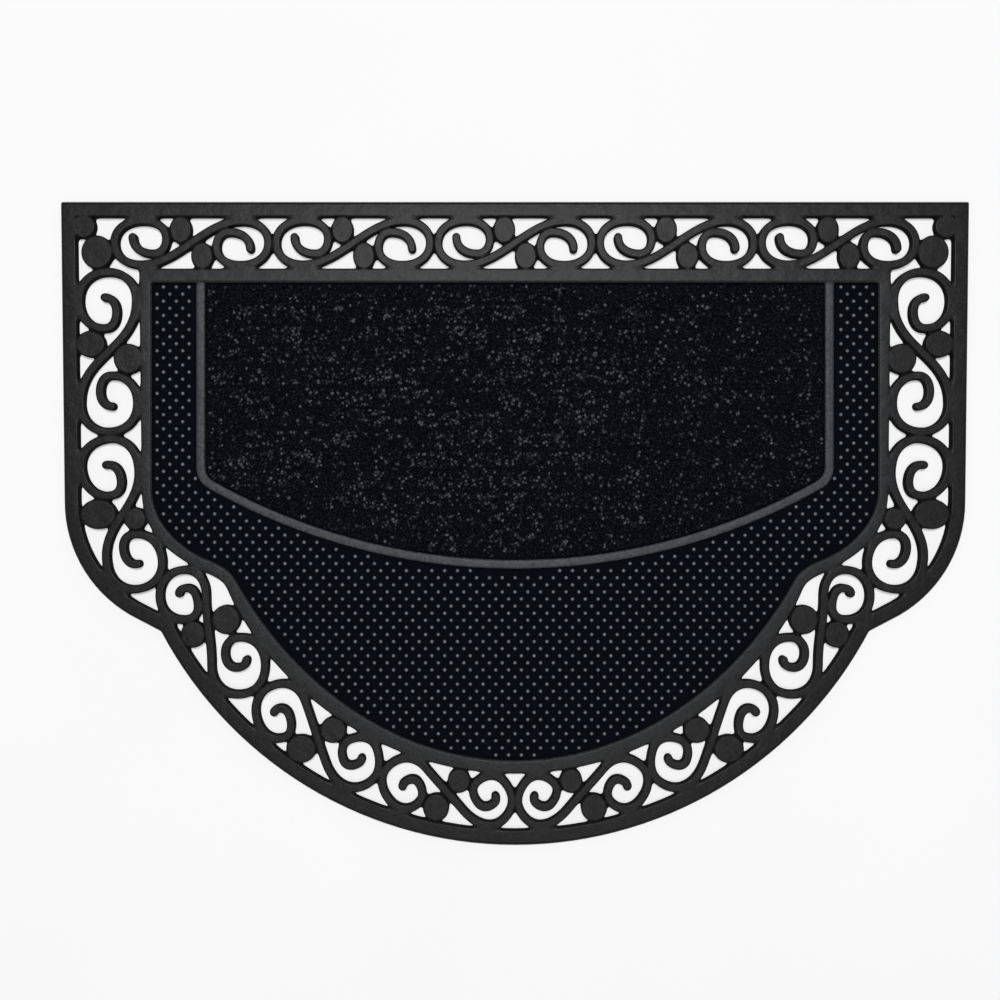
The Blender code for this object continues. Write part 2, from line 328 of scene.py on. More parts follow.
def arc(centre, radius, start, end, steps):
    """Points on a circle from one angle to another, both ends included."""
    angles = [start + (end - start) * step / steps for step in range(steps + 1)]
    return [centre + radius * Vector((cos(angle), sin(angle))) for angle in angles]


def curve_through(knots):
    """Smooth curve through the knots of half an outline."""
    points = [Vector((knots[0].x, knots[0].y))]
    for start, end in zip(knots, knots[1:]):
        leave = start.handle * Vector((cos(radians(start.heading)), sin(radians(start.heading))))
        arrive = start.handle * Vector((cos(radians(end.heading)), sin(radians(end.heading))))
        first = Vector((start.x, start.y))
        last = Vector((end.x, end.y))
        points += interpolate_bezier(first, first + leave, last - arrive, last, OUTLINE_STEPS + 1)[1:]
    return points


def mirrored(points):
    """The points on the mat's other half, in reverse so that a loop runs on through them."""
    return [Vector((-point.x, point.y)) for point in reversed(points)]


def outer_outline():
    """The mat's edge: the wide arc up to the notch, the shoulder and the side of each half."""
    arc_centre = Vector((0, BOTTOM_RADIUS - MAT_DEPTH / 2))
    half = arc(arc_centre, BOTTOM_RADIUS, -pi / 2, -acos(NOTCH_HALF_WIDTH / BOTTOM_RADIUS), OUTLINE_STEPS)
    shoulder_centre = Vector((WAIST_WIDTH / 2 - SHOULDER_RADIUS, SHOULDER_Y))
    half += arc(shoulder_centre, SHOULDER_RADIUS, -SHOULDER_TURN, 0, OUTLINE_STEPS // 2)
    half.append(Vector((MAT_WIDTH / 2, MAT_DEPTH / 2)))
    return half + mirrored(half[1:])


def tray_outline():
    """The inner rim's outer edge, which leans out a little towards the top."""
    half = curve_through(TRAY_KNOTS)
    half.append(Vector((TRAY_HALF_WIDTH, TRAY_TOP)))
    return half + mirrored(half[1:])


def field_outline():
    """The sunk field's edge, which is also the inner rim's inner edge."""
    half = curve_through(FIELD_KNOTS)
    half.append(Vector((half[-1].x, FIELD_TOP)))
    return half + mirrored(half[1:])


def rib_path(top):
    """The rib's middle line, from the left leg's top down and round to the right leg's top."""
    half = curve_through(RIB_KNOTS)
    half.append(Vector((half[-1].x, top)))
    return mirrored(half[1:]) + half


def volute(ring, head, open_side):
    """From the ring's open side round to the tip in its eye, as quarters of ellipses."""
    eye = Vector((ring.x, ring.y))
    places = [eye + ring.radius * (turn.head * head + turn.open_side * open_side) for turn in ring.volute]
    headings = [head, -open_side, -head, open_side] * 2
    points = [places[0]]
    for index, (start, end) in enumerate(zip(places, places[1:])):
        leave = headings[index] * abs((end - start).dot(headings[index]))
        arrive = headings[index + 1] * abs((end - start).dot(headings[index + 1]))
        curve = (start, start + leave * ELLIPSE_HANDLE, end - arrive * ELLIPSE_HANDLE, end)
        points += interpolate_bezier(*curve, VOLUTE_STEPS + 1)[1:]
    return points


def scroll_path(scroll):
    """Middle line of one S-scroll, from tip to tip. The mat's middle is on its right."""
    head = Vector((cos(radians(scroll.heading)), sin(radians(scroll.heading))))
    inward = Vector((-head.y, head.x))
    first = volute(scroll.first, head, inward)
    second = volute(scroll.second, -head, -inward)
    handle = head * (second[0] - first[0]).length * scroll.handle
    curve = (first[0], first[0] - handle, second[0] + handle, second[0])
    diagonal = interpolate_bezier(*curve, DIAGONAL_STEPS + 1)
    return first[::-1] + diagonal[1:-1] + second


def top_scroll(middle):
    """The scroll along the straight edge that has its middle here."""
    rings = [
        Ring(middle + way * TOP_EYE_SPACING / 2, TOP_SCROLL_Y, TOP_RING_RADIUS, TOP_VOLUTE)
        for way in (-1, 1)
    ]
    return Scroll(180, TOP_HANDLE, *rings)


def scroll_paths():
    """Every strand's middle line: a row along the straight edge, and the two mirrored sides."""
    paths = [scroll_path(top_scroll(middle)) for middle in top_scroll_middles()]
    for scroll in SIDE_SCROLLS:
        path = scroll_path(scroll)
        paths += [path, mirrored(path)]
    return paths


def top_scroll_middles():
    """Where the scrolls along the straight edge have their middles, left to right."""
    first = -TOP_SCROLL_PITCH * (TOP_SCROLL_COUNT - 1) / 2
    return [first + TOP_SCROLL_PITCH * index for index in range(TOP_SCROLL_COUNT)]


def all_bosses():
    """Every boss of the border."""
    bosses = list(SIDE_BOSSES)
    bosses += [boss._replace(x=-boss.x) for boss in SIDE_BOSSES]
    for middle in top_scroll_middles():
        for way in (1, -1):
            place = {"x": middle + way * TOP_BOSS.x, "y": TOP_SCROLL_Y + way * TOP_BOSS.y}
            bosses.append(TOP_BOSS._replace(**place))
    return bosses


def distance_to(path, x, y):
    """How far the points are from a path of straight segments."""
    nearest = np.full(x.shape, np.inf)
    for start, end in zip(path, path[1:]):
        along = end - start
        if along.length_squared == 0:
            continue
        share = ((x - start.x) * along.x + (y - start.y) * along.y) / along.length_squared
        share = np.clip(share, 0, 1)
        away = (x - start.x - share * along.x) ** 2 + (y - start.y - share * along.y) ** 2
        nearest = np.minimum(nearest, away)
    return np.sqrt(nearest)


def depth_inside(outline, x, y):
    """Distance from a closed outline, positive inside it and negative outside."""
    closed = outline + outline[:1]
    inside = np.zeros(x.shape, bool)
    for start, end in zip(closed, closed[1:]):
        if start.y != end.y:
            crossing = start.x + (y - start.y) / (end.y - start.y) * (end.x - start.x)
            inside ^= ((start.y > y) != (end.y > y)) & (x < crossing)
    return np.where(inside, 1, -1) * distance_to(closed, x, y)


def merged(first, second, fillet):
    """Depth inside either of two shapes, with a fillet in the corners where they meet."""
    near = np.maximum(fillet - np.abs(first - second), 0)
    return np.maximum(first, second) + near ** 2 / (4 * fillet)


def ellipse_depth(boss, x, y):
    """Depth inside a boss, measured along the line through its middle."""
    share = np.hypot((x - boss.x) / boss.half_x, (y - boss.y) / boss.half_y)
    return np.hypot(x - boss.x, y - boss.y) * (1 / np.maximum(share, MERGE_DISTANCE) - 1)


class Grid:
    """Even grid of points over the mat and a little past it, where the depths are sampled."""

    def __init__(self):
        half_width = MAT_WIDTH / 2 + GRID_MARGIN
        half_depth = MAT_DEPTH / 2 + GRID_MARGIN
        self.columns = np.arange(-half_width, half_width, GRID_STEP)
        self.rows = np.arange(-half_depth, half_depth, GRID_STEP)
        self.x, self.y = np.meshgrid(self.columns, self.rows)

    def window(self, points, margin):
        """The part of the grid that lies round these points."""
        xs = [point.x for point in points]
        ys = [point.y for point in points]
        across = np.searchsorted(self.columns, (min(xs) - margin, max(xs) + margin))
        up = np.searchsorted(self.rows, (min(ys) - margin, max(ys) + margin))
        return slice(*up), slice(*across)

    def sample(self, depths, x, y):
        """The depths at any points, from the four grid points round each."""
        column = np.clip((x - self.columns[0]) / GRID_STEP, 0, len(self.columns) - WITHIN_LAST_CELL)
        row = np.clip((y - self.rows[0]) / GRID_STEP, 0, len(self.rows) - WITHIN_LAST_CELL)
        left, low = column.astype(int), row.astype(int)
        across, up = column - left, row - low
        lower = depths[low, left] * (1 - across) + depths[low, left + 1] * across
        upper = depths[low + 1, left] * (1 - across) + depths[low + 1, left + 1] * across
        return lower * (1 - up) + upper * up

    def contour(self, depths, level):
        """Closed loops along which the depth has this level, with corners at even spacing."""
        flat = depths.ravel() - level
        index = np.arange(flat.size).reshape(depths.shape)
        cells = (index[:-1, :-1], index[:-1, 1:], index[1:, 1:], index[1:, :-1])
        corners = np.stack([cell.ravel() for cell in cells], 1)
        triangles = np.vstack([corners[:, picks] for picks in ((0, 1, 2), (0, 2, 3))])
        above = flat[triangles] > 0
        cut = above.any(1) & ~above.all(1)
        triangles, above = triangles[cut], above[cut]
        lone = np.where(above.sum(1) == 1, above.argmax(1), (~above).argmax(1))
        each = np.arange(len(triangles))
        tip = triangles[each, lone]
        keys = []
        for step in (1, 2):
            other = triangles[each, (lone + step) % 3]
            keys.append(np.minimum(tip, other) * flat.size + np.maximum(tip, other))
        crossed, links = np.unique(np.stack(keys, 1), return_inverse=True)
        low, high = np.divmod(crossed, flat.size)
        share = flat[low] / (flat[low] - flat[high])
        x = self.x.ravel()[low] * (1 - share) + self.x.ravel()[high] * share
        y = self.y.ravel()[low] * (1 - share) + self.y.ravel()[high] * share
        points = np.stack([x, y], 1)
        return [evenly(points[loop]) for loop in chained(links.reshape(-1, 2))]


def chained(links):
    """Follows pairs of neighbours round into closed loops of indices."""
    neighbours = {}
    for first, second in links.tolist():
        neighbours.setdefault(first, []).append(second)
        neighbours.setdefault(second, []).append(first)
    loops = []
    while neighbours:
        here = next(iter(neighbours))
        loop = []
        while here is not None:
            loop.append(here)
            sides = neighbours.pop(here)
            here = next((side for side in sides if side in neighbours), None)
        loops.append(loop)
    return loops


def evenly(points):
    """A closed loop of points, laid out again at even spacing."""
    closed = np.vstack([points, points[:1]])
    reach = np.concatenate([[0], np.cumsum(np.linalg.norm(np.diff(closed, axis=0), axis=1))])
    count = max(FEWEST_CORNERS, round(reach[-1] / CORNER_SPACING))
    stops = np.arange(count) * reach[-1] / count
    return np.stack([np.interp(stops, reach, closed[:, axis]) for axis in (0, 1)], 1)


def drop(edge, depth):
    """How far a rounded edge lies below the flat top, this deep inside it."""
    return edge.drop * np.clip(1 - depth / edge.width, 0, DEEPEST_DROP) ** 2


def draw_plan(grid):
    """The depths of everything that the mat is made of.

    The border's openings have fillets in all their corners. In its relief the scrolls run smoothly into the
    rims, but a crease stays round the bosses and where two scrolls touch.
    """
    mat = depth_inside(outer_outline(), grid.x, grid.y)
    field = depth_inside(field_outline(), grid.x, grid.y)
    tray = depth_inside(tray_outline(), grid.x, grid.y)
    rims = np.maximum(RIM_WIDTH - mat, tray)
    raised = rims.copy()
    strands = np.full(rims.shape, -np.inf)
    discs = np.full(rims.shape, -np.inf)
    margin = STRAND_WIDTH / 2 + FILLET
    for path in scroll_paths():
        part = grid.window(path, margin)
        strand = STRAND_WIDTH / 2 - distance_to(path, grid.x[part], grid.y[part])
        raised[part] = merged(raised[part], strand, FILLET)
        strands[part] = np.maximum(strands[part], strand)
    for boss in all_bosses():
        part = grid.window([Vector((boss.x, boss.y))], max(boss.half_x, boss.half_y) + FILLET)
        disc = ellipse_depth(boss, grid.x[part], grid.y[part])
        raised[part] = merged(raised[part], disc, FILLET)
        discs[part] = np.maximum(discs[part], disc)
    rib = RIB_WIDTH / 2 - distance_to(rib_path((FIELD_TOP + TRAY_TOP) / 2), grid.x, grid.y)
    carpet = depth_inside(rib_path(FIELD_TOP + RIB_WIDTH / 2), grid.x, grid.y) - RIB_WIDTH / 2 - CLEARANCE
    relief = np.maximum(merged(rims, strands, FILLET), discs)
    return Plan(raised, relief, mat, field, rib, carpet)


def triangulated(borders, loops, loose_points=()):
    """Corner places and triangles inside the borders, with every border and loop kept as edges."""
    corners = []
    edges = []
    for loop in borders + loops:
        start = len(corners)
        corners += [Vector(point) for point in loop.tolist()]
        edges += [(start + index, start + (index + 1) % len(loop)) for index in range(len(loop))]
    corners += [Vector(point) for point in loose_points]
    places, cuts, triangles, _, cut_origins, _ = delaunay_2d_cdt(corners, edges, [], 0, MERGE_DISTANCE)
    border_size = sum(len(loop) for loop in borders)
    on_border = [any(edge < border_size for edge in origin) for origin in cut_origins]
    walls = {frozenset(cut) for cut, wall in zip(cuts, on_border) if wall}
    return np.array([tuple(place) for place in places]), np.array(within(walls, triangles))


def within(walls, triangles):
    """The triangles that lie an odd number of walls in from the outside."""
    sides = [[frozenset((a, b)), frozenset((b, c)), frozenset((c, a))] for a, b, c in triangles]
    neighbours = {}
    for number, pairs in enumerate(sides):
        for pair in pairs:
            neighbours.setdefault(pair, []).append(number)
    waiting = [(users[0], pair in walls) for pair, users in neighbours.items() if len(users) == 1]
    inside = {}
    while waiting:
        number, state = waiting.pop()
        if number in inside:
            continue
        inside[number] = state
        for pair in sides[number]:
            waiting += [(other, state != (pair in walls)) for other in neighbours[pair]]
    return [triangle for number, triangle in enumerate(triangles) if inside[number]]


def with_edges(faces):
    """The faces together with their edges and corners, each once."""
    edges = dict.fromkeys(edge for face in faces for edge in face.edges)
    corners = dict.fromkeys(vert for face in faces for vert in face.verts)
    return [*faces, *edges, *corners]


def moulding_top(grid, plan, x, y):
    """Height and tone of the raised rubber at points of the plan."""
    field = grid.sample(plan.field, x, y)
    relief = grid.sample(plan.relief, x, y)
    mat = grid.sample(plan.mat, x, y)
    crossing = np.clip((grid.sample(plan.open, x, y) - relief) / CREASE_ONSET, 0, 1)
    border = BORDER_TOP - np.maximum.reduce([
        drop(FORM_EDGE, relief),
        drop(CREASE_EDGE, relief) * crossing,
        drop(OUTER_EDGE, mat),
        drop(FIELD_EDGE, -field),
    ])
    rib_depth = grid.sample(plan.rib, x, y)
    rib = RIB_TOP - drop(RIB_EDGE, rib_depth)
    in_field = field > MERGE_DISTANCE
    on_rib = rib_depth > -MERGE_DISTANCE
    height = np.where(in_field, rib, np.where(on_rib, np.maximum(border, rib), border))
    ledge = np.clip(1 + field / LEDGE_WIDTH, 0, 1)
    tone = BORDER_TONE + (LEDGE_TONE - BORDER_TONE) * ledge
    # Painted shade: darker towards the edge of every top
    past_edge_shade = np.clip(np.minimum(relief, mat) / EDGE_SHADE_WIDTH, 0, 1)
    # Painted shade: darker in the creases where raised forms meet
    creased = crossing * (1 - np.clip(relief / CREASE_EDGE.width, 0, 1))
    tone *= np.minimum(EDGE_SHADE + (1 - EDGE_SHADE) * past_edge_shade, 1 - (1 - CREASE_SHADE) * creased)
    return height, np.where(in_field, RIB_TONE, tone)


def moulding_rows(grid, plan):
    """Loops of equal depth, along which the rubber's rounded edges have their rows of corners."""
    loops = []
    for depths, edge, rows in (
        (plan.relief, CREASE_EDGE, CREASE_ROWS),
        (plan.mat, OUTER_EDGE, EDGE_ROWS[1:]),
        (-plan.field, FIELD_EDGE, EDGE_ROWS),
        (plan.rib, RIB_EDGE, EDGE_ROWS),
    ):
        for row in rows:
            loops += grid.contour(depths, row * edge.width)
    return loops


def make_moulding(grid, plan):
    """The whole rubber mat as one closed mesh with rounded edges."""
    borders = grid.contour(plan.mat, 0) + grid.contour(plan.open, 0)
    places, triangles = triangulated(borders, moulding_rows(grid, plan))
    middle_x, middle_y = places[triangles].mean(axis=1).T
    in_field = grid.sample(plan.field, middle_x, middle_y) > 0
    raised = ~in_field | (grid.sample(plan.rib, middle_x, middle_y) > 0)
    mesh = bmesh.new()
    verts = [mesh.verts.new((x, y, FLOOR_TOP)) for x, y in places]
    faces = [mesh.faces.new([verts[index] for index in triangle]) for triangle in triangles]
    caps = [face for face, high in zip(faces, raised) if high]
    bmesh.ops.delete(mesh, geom=[vert for vert in mesh.verts if not vert.link_faces], context="VERTS")
    tone = mesh.verts.layers.float.new("tone")
    grown = bmesh.ops.extrude_face_region(mesh, geom=with_edges(caps))["geom"]
    tops = [part for part in grown if isinstance(part, bmesh.types.BMVert)]
    top_places = np.array([tuple(vert.co) for vert in tops])
    heights, tones = moulding_top(grid, plan, top_places[:, 0], top_places[:, 1])
    low_verts = list(set(mesh.verts) - set(tops))
    for vert, height, shade in zip(tops, heights, tones):
        vert.co.z = height
        vert[tone] = shade
    low_places = np.array([tuple(vert.co) for vert in low_verts])
    on_floor = grid.sample(plan.field, low_places[:, 0], low_places[:, 1]) > -GRID_STEP / 2
    # Painted shade: wall feet are dark, and take the floor's tone where they stand in the field
    for vert, sunk in zip(low_verts, on_floor):
        vert[tone] = FLOOR_TONE if sunk else WALL_SHADE_TONE
    close_underside(mesh, tone, grid, plan)
    moulding = finished("rubber_moulding", mesh, rubber_material())
    shading = moulding.modifiers.new("flat_tops", "WEIGHTED_NORMAL")
    shading.keep_sharp = True
    shading.weight = 80
    return moulding


def close_underside(mesh, tone, grid, plan):
    """Walls from the mesh's open edges down to the ground, and a flat face between their feet."""
    rim = [edge for edge in mesh.edges if len(edge.link_faces) == 1]
    walls = bmesh.ops.extrude_edge_only(mesh, edges=rim)["geom"]
    corners = [part for part in walls if isinstance(part, bmesh.types.BMVert)]
    for vert in corners:
        vert.co.z = 0
    number = {vert: index for index, vert in enumerate(corners)}
    edges = [
        [number[vert] for vert in part.verts]
        for part in walls
        if isinstance(part, bmesh.types.BMEdge) and all(vert in number for vert in part.verts)
    ]
    steps = np.arange(-MAT_WIDTH / 2, MAT_WIDTH / 2, UNDERSIDE_GRID)
    x, y = np.meshgrid(steps, steps)
    inner = grid.sample(plan.field, x, y) > 0
    corners += [mesh.verts.new((*spot, 0)) for spot in zip(x[inner].tolist(), y[inner].tolist())]
    for vert in corners:
        vert[tone] = WALL_SHADE_TONE
    places = [vert.co.xy for vert in corners]
    _, cuts, triangles, origins, cut_origins, _ = delaunay_2d_cdt(places, edges, [], 0, 0)
    borders = {frozenset(cut) for cut, origin in zip(cuts, cut_origins) if origin}
    for triangle in within(borders, triangles):
        mesh.faces.new([corners[origins[index][0]] for index in triangle])


def finished(name, mesh, material, smooth_angle=40):
    """Turns a bmesh into a shaded piece with its material."""
    bmesh.ops.recalc_face_normals(mesh, faces=mesh.faces)
    data = bpy.data.meshes.new(name)
    mesh.to_mesh(data)
    mesh.free()
    data.shade_smooth()
    data.set_sharp_from_angle(angle=radians(smooth_angle))
    return placed(name, data, material)


def placed(name, data, material):
    """Puts mesh data into the scene as a piece with its material."""
    data.materials.append(material)
    piece = bpy.data.objects.new(name, data)
    bpy.context.scene.collection.objects.link(piece)
    return piece


def joined_rings(name, rings, tones, attribute, material):
    """Many like closed forms as one mesh. Rings is an array of form, ring, corner and axis."""
    count, ring_count, sides, _ = rings.shape
    per_form = ring_count * sides
    index = np.arange(count * per_form).reshape(count, ring_count, sides)
    lower, upper = index[:, :-1], index[:, 1:]
    quads = np.stack([lower, np.roll(lower, -1, 2), np.roll(upper, -1, 2), upper], -1).reshape(-1, 4)
    faces = quads.tolist()
    faces += index[:, 0, ::-1].tolist()
    faces += index[:, -1].tolist()
    data = bpy.data.meshes.new(name)
    data.from_pydata(rings.reshape(-1, 3).tolist(), [], faces)
    values = data.attributes.new(attribute, "FLOAT", "POINT")
    corner_tones = np.broadcast_to(tones[..., None], rings.shape[:3]).astype(np.float32)
    values.data.foreach_set("value", corner_tones.ravel())
    data.shade_smooth()
    return placed(name, data, material)


def pip_places(grid, plan):
    """The staggered rows of pips, where they are clear of the field's edge and of the rib."""
    row_count = int((FIELD_TOP + MAT_DEPTH / 2) / PIP_PITCH_Y)
    column_count = int(MAT_WIDTH / PIP_PITCH_X)
    places = []
    for row in range(row_count):
        stagger = 0.5 if row % 2 == 0 else 0.0
        for column in range(-column_count // 2, column_count // 2 + 1):
            places.append(((column + stagger) * PIP_PITCH_X, PIP_FIRST_Y - row * PIP_PITCH_Y))
    x, y = np.array(places).T
    clear_of_rim = grid.sample(plan.field, x, y) > PIP_MARGIN
    clear_of_rib = grid.sample(plan.rib, x, y) < -PIP_MARGIN
    clear_of_carpet = grid.sample(plan.carpet, x, y) < -PIP_MARGIN
    kept = clear_of_rim & clear_of_rib & clear_of_carpet
    return x[kept], y[kept]


def make_pips(grid, plan):
    """The small studs of the sunk field, as one joined mesh."""
    x, y = pip_places(grid, plan)
    angles = np.arange(PIP_SIDES) * 2 * pi / PIP_SIDES
    circle = np.stack([np.cos(angles), np.sin(angles), np.zeros(PIP_SIDES)], 1)
    form = np.array([row.radius * circle + (0, 0, FLOOR_TOP + row.height) for row in PIP_PROFILE])
    middles = np.stack([x, y, np.zeros(len(x))], 1)
    rings = middles[:, None, None] + form[None]
    tones = np.tile([row.tone for row in PIP_PROFILE], (len(x), 1))
    return joined_rings("field_pips", rings, tones, "tone", pip_material())


def uneven(x, y, size, seed):
    """Smooth noise from -1 to 1 at each point, with lumps of about this size."""
    return np.array([noise.noise(Vector((a / size, b / size, seed))) for a, b in zip(x, y)])


def layered(x, y, layers):
    """Smooth noise at each point with lumps of several sizes."""
    return sum(layer.weight * uneven(x, y, layer.size, layer.seed) for layer in layers)


def carpet_groove(y):
    """1 along the middle of each groove between the carpet's ribs, and 0 on the ribs."""
    wave = np.cos(2 * pi * (y - FIELD_TOP) / CARPET_RIB_PITCH)
    return np.clip(wave - GROOVE_ONSET, 0, 1) / (1 - GROOVE_ONSET)


def carpet_height(grid, plan, x, y):
    """Top of the carpet: shallow ribs, an uneven nap and a round edge that is rubbed down."""
    groove = CARPET_RIB_DEPTH * carpet_groove(y)
    nap = NAP_DEPTH * (layered(x, y, NAP_LAYERS) + NAP_LEVEL)
    return CARPET_TOP - groove + nap - drop(CARPET_EDGE, grid.sample(plan.carpet, x, y))


def make_carpet(grid, plan):
    """The carpet's body: one closed mesh over the recess, just clear of the rubber floor."""
    carpet = np.minimum(plan.carpet, plan.field - CLEARANCE)
    loops = [loop for row in EDGE_ROWS[1:] for loop in grid.contour(carpet, row * CARPET_EDGE.width)]
    across = np.arange(-MAT_WIDTH / 2, MAT_WIDTH / 2, CARPET_GRID)
    x, y = np.meshgrid(across, np.arange(CARPET_LOW_END, CARPET_HIGH_END, CARPET_GRID))
    inner = grid.sample(carpet, x, y) > CARPET_EDGE.width + CARPET_GRID / 2
    spots = np.stack([x[inner], y[inner]], 1)
    places, triangles = triangulated(grid.contour(carpet, 0), loops, spots.tolist())
    heights = carpet_height(grid, plan._replace(carpet=carpet), places[:, 0], places[:, 1])
    mesh = bmesh.new()
    verts = [mesh.verts.new((x, y, z)) for (x, y), z in zip(places, heights)]
    for triangle in triangles:
        mesh.faces.new([verts[index] for index in triangle])
    bmesh.ops.delete(mesh, geom=[vert for vert in mesh.verts if not vert.link_faces], context="VERTS")
    rim = [edge for edge in mesh.edges if len(edge.link_faces) == 1]
    walls = bmesh.ops.extrude_edge_only(mesh, edges=rim)["geom"]
    for vert in [part for part in walls if isinstance(part, bmesh.types.BMVert)]:
        vert.co.z = FLOOR_TOP + CLEARANCE
    ring = [part for part in walls if isinstance(part, bmesh.types.BMEdge)]
    bmesh.ops.contextual_create(mesh, geom=[edge for edge in ring if len(edge.link_faces) == 1])
    return finished("carpet_body", mesh, carpet_material(), smooth_angle=70)


def fibre_places(fibres, grid, plan, random):
    """Where fibres lie: scattered over the carpet, and thicker in some patches than in others."""
    carpet = np.minimum(plan.carpet, plan.field)
    tries = fibres.count * FIBRE_TRIES
    x = random.uniform(-MAT_WIDTH / 2, MAT_WIDTH / 2, tries)
    y = random.uniform(FIBRE_LOW_END, FIELD_TOP, tries)
    inside = grid.sample(carpet, x, y) > FIBRE_MARGIN
    x, y = x[inside], y[inside]
    patches = layered(x, y, PATCH_LAYERS)
    chance = np.clip(MEAN_CHANCE + fibres.clump * PATCH_CONTRAST * patches, LEAST_CHANCE, 1)
    chance *= 1 - GROOVE_BARENESS * carpet_groove(y)
    chance *= np.interp(x, *WORN_SIDE)
    chance *= np.interp(FIELD_TOP - y, *WORN_TOP)
    kept = random.uniform(0, 1, len(x)) < chance
    return x[kept][:fibres.count], y[kept][:fibres.count]


def make_fibres(fibres, grid, plan):
    """Short bent fibres that lie on the carpet, as one joined mesh."""
    random = np.random.default_rng(fibres.seed)
    x, y = fibre_places(fibres, grid, plan, random)
    count = len(x)
    length = random.uniform(*fibres.length, count)
    heading = random.uniform(0, 2 * pi, count)
    bend = random.normal(0, FIBRE_BEND, count)
    lift = fibres.lift * random.uniform(*FIBRE_LIFTS, count)
    radius = fibres.radius * random.uniform(*FIBRE_GIRTHS, count)
    shade = random.uniform(0, 1, count) ** 2
    share = np.linspace(-0.5, 0.5, len(FIBRE_TAPER))[None]
    turn = heading[:, None] + bend[:, None] * share
    path_x = x[:, None] + length[:, None] * share * np.cos(turn)
    path_y = y[:, None] + length[:, None] * share * np.sin(turn)
    base = carpet_height(grid, plan, x, y)
    path_z = base[:, None] + lift[:, None] * (1 - (2 * share) ** 2)
    across = np.stack([-np.sin(turn), np.cos(turn), np.zeros_like(turn)], -1)
    up = np.array((0.0, 0.0, 1.0))
    angles = np.arange(FIBRE_SIDES) * 2 * pi / FIBRE_SIDES + pi / 2
    ring = across[:, :, None] * np.cos(angles)[:, None] + up * FIBRE_FLATNESS * np.sin(angles)[:, None]
    middles = np.stack([path_x, path_y, path_z], -1)
    radii = radius[:, None] * np.array(FIBRE_TAPER)
    rings = middles[:, :, None] + radii[:, :, None, None] * ring
    shades = np.tile(shade[:, None], (1, len(FIBRE_TAPER)))
    return joined_rings(fibres.name, rings, shades, "shade", fibre_material(fibres.name))


def node_material(name):
    """A new material with its node tree and its Principled shader."""
    material = bpy.data.materials.new(name)
    material.use_nodes = True
    tree = material.node_tree
    return material, tree, tree.nodes["Principled BSDF"]


def noise_factor(tree, size, detail, low, high):
    """Noise with grains of about this size in metres, spread between two values."""
    place = tree.nodes.new("ShaderNodeTexCoord")
    texture = tree.nodes.new("ShaderNodeTexNoise")
    texture.inputs["Scale"].default_value = 1 / size
    texture.inputs["Detail"].default_value = detail
    tree.links.new(place.outputs["Object"], texture.inputs["Vector"])
    return spread(tree, texture.outputs["Fac"], NOISE_RANGE, (low, high))


def spread(tree, factor, old, new):
    """A factor moved from one range to another."""
    node = tree.nodes.new("ShaderNodeMapRange")
    node.inputs["From Min"].default_value, node.inputs["From Max"].default_value = old
    node.inputs["To Min"].default_value, node.inputs["To Max"].default_value = new
    tree.links.new(factor, node.inputs["Value"])
    return node.outputs["Result"]


def ramp(tree, factor, stops):
    """Colour ramp over (position, colour) stops."""
    node = tree.nodes.new("ShaderNodeValToRGB")
    elements = node.color_ramp.elements
    while len(elements) < len(stops):
        elements.new(0.5)
    for element, (position, colour) in zip(elements, stops):
        element.position = position
        element.color = (*colour, 1)
    tree.links.new(factor, node.inputs["Fac"])
    return node.outputs["Color"]


def attribute_value(tree, name):
    """A value that the mesh keeps at its corners."""
    node = tree.nodes.new("ShaderNodeAttribute")
    node.attribute_name = name
    return node.outputs["Fac"]


def scaled(tree, colour, factor):
    """The colour made darker or lighter by a factor."""
    node = tree.nodes.new("ShaderNodeVectorMath")
    node.operation = "SCALE"
    tree.links.new(colour, node.inputs[0])
    tree.links.new(factor, node.inputs["Scale"])
    return node.outputs["Vector"]


def add_bump(tree, shader, height, distance, normal=None):
    """Fine relief on the shader's normal."""
    node = tree.nodes.new("ShaderNodeBump")
    node.inputs["Distance"].default_value = distance
    tree.links.new(height, node.inputs["Height"])
    if normal is not None:
        tree.links.new(normal, node.inputs["Normal"])
    tree.links.new(node.outputs["Normal"], shader.inputs["Normal"])
    return node.outputs["Normal"]


def rubber_material():
    """Moulded rubber: a near-black floor, grey rims and a paler rib, all a little mottled and grained."""
    material, tree, shader = node_material("moulded_rubber")
    colour = ramp(tree, attribute_value(tree, "tone"), (
        (FLOOR_TONE, FLOOR_COLOUR),
        # The dark stop is painted shade, for walls and for the tops' edges and creases
        (0.12, (0.0018, 0.0019, 0.0024)),
        (BORDER_TONE, (0.0101, 0.0101, 0.0102)),
        (LEDGE_TONE, (0.0160, 0.0174, 0.0190)),
        (RIB_TONE, (0.0375, 0.0393, 0.0445)),
    ))
    colour = scaled(tree, colour, noise_factor(tree, 0.0040, 3, 0.80, 1.20))
    colour = scaled(tree, colour, noise_factor(tree, 0.0016, 2, 0.70, 1.30))
    tree.links.new(colour, shader.inputs["Base Color"])
    roughness = spread(tree, attribute_value(tree, "tone"), (BORDER_TONE / 2, BORDER_TONE), (1.0, 0.35))
    tree.links.new(roughness, shader.inputs["Roughness"])
    shader.inputs["Specular IOR Level"].default_value = 0.09
    grain = add_bump(tree, shader, noise_factor(tree, 0.0007, 3, 0, 1), 0.00006)
    add_bump(tree, shader, noise_factor(tree, 0.012, 2, 0, 1), 0.00025, grain)
    return material


